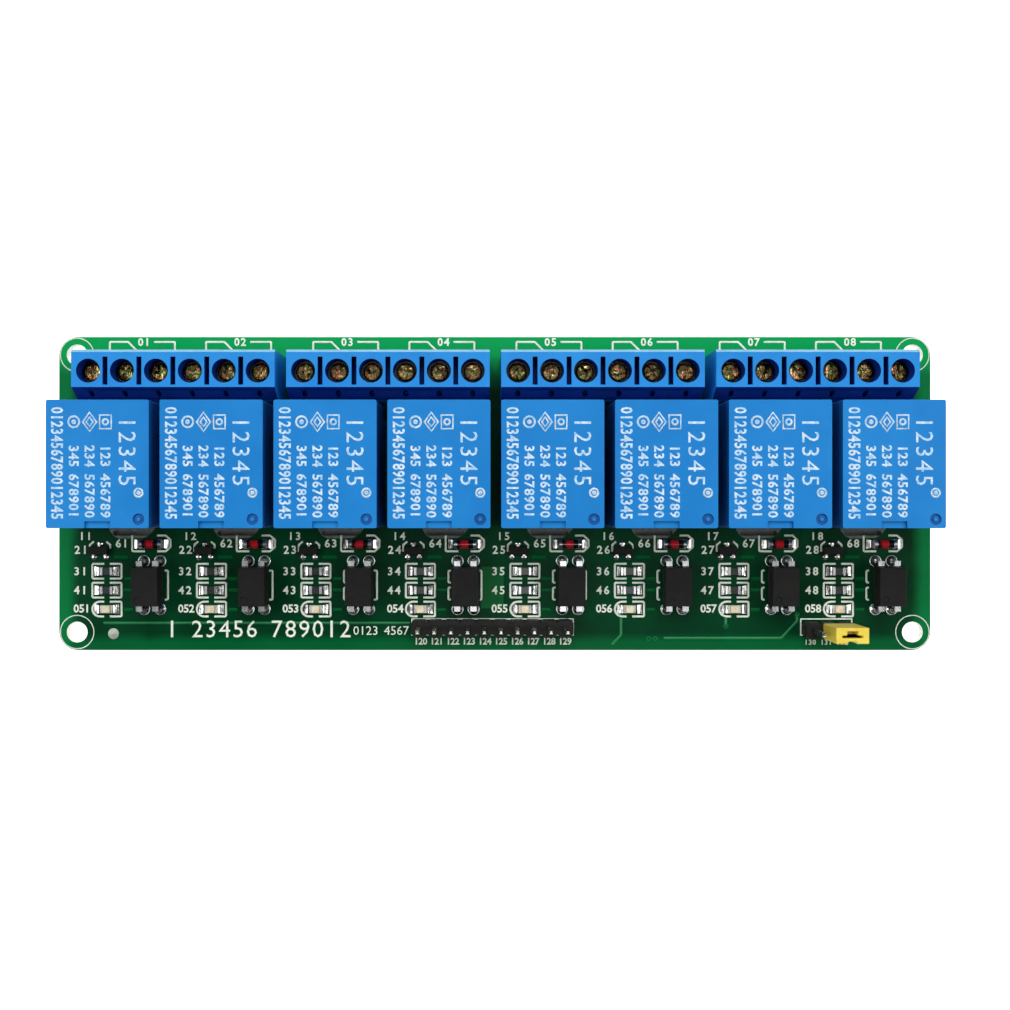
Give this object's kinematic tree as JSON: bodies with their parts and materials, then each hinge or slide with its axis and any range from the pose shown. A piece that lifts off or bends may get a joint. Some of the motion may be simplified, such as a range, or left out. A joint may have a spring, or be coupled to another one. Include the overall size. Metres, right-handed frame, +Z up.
{
  "type": "relay module board",
  "caption": "Long green circuit board with a row of blue relays, screw terminals along one edge, a small driver circuit for each relay and a pin header for the inputs.",
  "frame": {"origin": "centre of the four mounting holes, on the underside of the board", "axes": "+X along the row of relays, to the right with the terminals away from the viewer; +Y towards the screw terminals; +Z up through the parts"},
  "size_m": [0.138, 0.0496, 0.0189],
  "materials": {
    "board_laminate": "satin green solder mask on glass laminate",
    "cover_plastic": "semi-gloss moulded blue",
    "armature_steel": "plated iron",
    "base_plastic": "matt moulded blue",
    "bobbin_plastic": "matt moulded cream",
    "coil_wire": "enamelled copper wire",
    "relay_iron": "plated iron",
    "spring_bronze": "rolled bronze strip",
    "tinned_metal": "bright tin plate",
    "terminal_plastic": "satin moulded blue",
    "zinc_screw": "yellow zinc plate",
    "cage_steel": "zinc plate",
    "chip_black": "matt moulded black",
    "resistor_glaze": "black glaze on ceramic",
    "light_body": "white laminate",
    "light_lens": "clear pale yellow resin",
    "diode_glass": "amber red glass",
    "header_plastic": "matt moulded black",
    "header_pin_metal": "bright plate",
    "jumper_plastic": "semi-gloss moulded yellow",
    "solder": "bright solder"
  },
  "bodies": {
    "board": {"circuit_board": "board_laminate", "relay_cover_1": "cover_plastic", "relay_cover_2": "cover_plastic", "relay_cover_3": "cover_plastic", "relay_cover_4": "cover_plastic", "relay_cover_5": "cover_plastic", "relay_cover_6": "cover_plastic", "relay_cover_7": "cover_plastic", "relay_cover_8": "cover_plastic", "relay_bases": "base_plastic", "relay_bobbins": "bobbin_plastic", "relay_windings": "coil_wire", "relay_cores": "relay_iron", "relay_yokes": "relay_iron", "relay_hinge_springs": "spring_bronze", "relay_fixed_contacts": "spring_bronze", "relay_leads": "tinned_metal", "terminal_housing_1": "terminal_plastic", "terminal_housing_2": "terminal_plastic", "terminal_housing_3": "terminal_plastic", "terminal_housing_4": "terminal_plastic", "terminal_screws": "zinc_screw", "terminal_cages": "cage_steel", "terminal_contacts": "tinned_metal", "optocoupler_1": "chip_black", "optocoupler_2": "chip_black", "optocoupler_3": "chip_black", "optocoupler_4": "chip_black", "optocoupler_5": "chip_black", "optocoupler_6": "chip_black", "optocoupler_7": "chip_black", "optocoupler_8": "chip_black", "optocoupler_legs": "tinned_metal", "transistor_bodies": "chip_black", "transistor_leads": "tinned_metal", "resistor_bodies": "resistor_glaze", "resistor_ends": "tinned_metal", "light_bases": "light_body", "light_ends": "tinned_metal", "light_lenses": "light_lens", "diode_tubes": "diode_glass", "diode_ends": "tinned_metal", "input_header_strip": "header_plastic", "input_header_pins": "header_pin_metal", "jumper_header_strip": "header_plastic", "jumper_header_pins": "header_pin_metal", "solder_joints": "solder"},
    "armature_1": {"relay_armature_1": "armature_steel"},
    "armature_2": {"relay_armature_2": "armature_steel"},
    "armature_3": {"relay_armature_3": "armature_steel"},
    "armature_4": {"relay_armature_4": "armature_steel"},
    "armature_5": {"relay_armature_5": "armature_steel"},
    "armature_6": {"relay_armature_6": "armature_steel"},
    "armature_7": {"relay_armature_7": "armature_steel"},
    "armature_8": {"relay_armature_8": "armature_steel"},
    "jumper": {"jumper_cap": "jumper_plastic", "jumper_clip": "spring_bronze"}
  },
  "joints": [
    {"name": "armature_1_swing", "type": "hinge", "parent": "board", "child": "armature_1", "pos_m": [-0.05792, -0.0022, 0.0137], "axis": [-1, 0, 0], "range_deg": [0, 2.5], "stiffness_Nm_per_rad": 0.01, "springref_deg": -17.19},
    {"name": "armature_2_swing", "type": "hinge", "parent": "board", "child": "armature_2", "pos_m": [-0.04138, -0.0022, 0.0137], "axis": [-1, 0, 0], "range_deg": [0, 2.5], "stiffness_Nm_per_rad": 0.01, "springref_deg": -17.19},
    {"name": "armature_3_swing", "type": "hinge", "parent": "board", "child": "armature_3", "pos_m": [-0.02482, -0.0022, 0.0137], "axis": [-1, 0, 0], "range_deg": [0, 2.5], "stiffness_Nm_per_rad": 0.01, "springref_deg": -17.19},
    {"name": "armature_4_swing", "type": "hinge", "parent": "board", "child": "armature_4", "pos_m": [-0.00827, -0.0022, 0.0137], "axis": [-1, 0, 0], "range_deg": [0, 2.5], "stiffness_Nm_per_rad": 0.01, "springref_deg": -17.19},
    {"name": "armature_5_swing", "type": "hinge", "parent": "board", "child": "armature_5", "pos_m": [0.00827, -0.0022, 0.0137], "axis": [-1, 0, 0], "range_deg": [0, 2.5], "stiffness_Nm_per_rad": 0.01, "springref_deg": -17.19},
    {"name": "armature_6_swing", "type": "hinge", "parent": "board", "child": "armature_6", "pos_m": [0.02482, -0.0022, 0.0137], "axis": [-1, 0, 0], "range_deg": [0, 2.5], "stiffness_Nm_per_rad": 0.01, "springref_deg": -17.19},
    {"name": "armature_7_swing", "type": "hinge", "parent": "board", "child": "armature_7", "pos_m": [0.04138, -0.0022, 0.0137], "axis": [-1, 0, 0], "range_deg": [0, 2.5], "stiffness_Nm_per_rad": 0.01, "springref_deg": -17.19},
    {"name": "armature_8_swing", "type": "hinge", "parent": "board", "child": "armature_8", "pos_m": [0.05792, -0.0022, 0.0137], "axis": [-1, 0, 0], "range_deg": [0, 2.5], "stiffness_Nm_per_rad": 0.01, "springref_deg": -17.19},
    {"name": "jumper_pull", "type": "slide", "parent": "board", "child": "jumper", "axis": [0, 0, 1], "range_m": [0, 0.006]}
  ]
}
